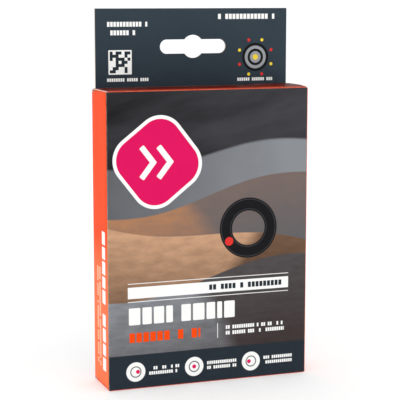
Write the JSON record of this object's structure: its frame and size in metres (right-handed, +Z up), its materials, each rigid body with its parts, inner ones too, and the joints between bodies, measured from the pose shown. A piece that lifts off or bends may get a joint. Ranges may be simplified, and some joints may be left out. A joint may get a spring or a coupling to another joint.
{
  "type": "hanging retail carton",
  "caption": "Slim folding carton of printed board with a tuck lid and a two-ply header that hangs from a euro slot.",
  "frame": {"origin": "centre of the box's footprint, on the surface it stands on", "axes": "+X to the right seen from the front, +Y towards the back and the header, +Z up"},
  "size_m": [0.0966, 0.0234, 0.1706],
  "materials": {
    "front_print": "satin",
    "side_print": "satin",
    "header_print": "satin",
    "plain_board": "matte"
  },
  "bodies": {
    "carton": {"front_wall": "front_print", "left_wall": "side_print", "right_wall": "side_print", "back_wall": "side_print", "glue_flap": "plain_board", "header": "header_print", "top_dust_flap_left": "side_print", "top_dust_flap_right": "side_print", "bottom_panel": "side_print", "bottom_tuck_flap": "side_print", "bottom_dust_flap_left": "side_print", "bottom_dust_flap_right": "side_print"},
    "lid": {"top_lid": "side_print"},
    "tuck_flap": {"top_tuck_flap": "side_print"}
  },
  "joints": [
    {"name": "lid_hinge", "type": "hinge", "parent": "carton", "child": "lid", "pos_m": [0, -0.01085, 0.135], "axis": [1, 0, 0], "range_deg": [0, 120]},
    {"name": "tuck_fold", "type": "hinge", "parent": "lid", "child": "tuck_flap", "pos_m": [0, 0.01005, 0.1341], "axis": [-1, 0, 0], "range_deg": [0, 84]}
  ],
  "couplings": [
    {"joint": "tuck_fold", "follows": "lid_hinge", "ratio": 0.7}
  ]
}
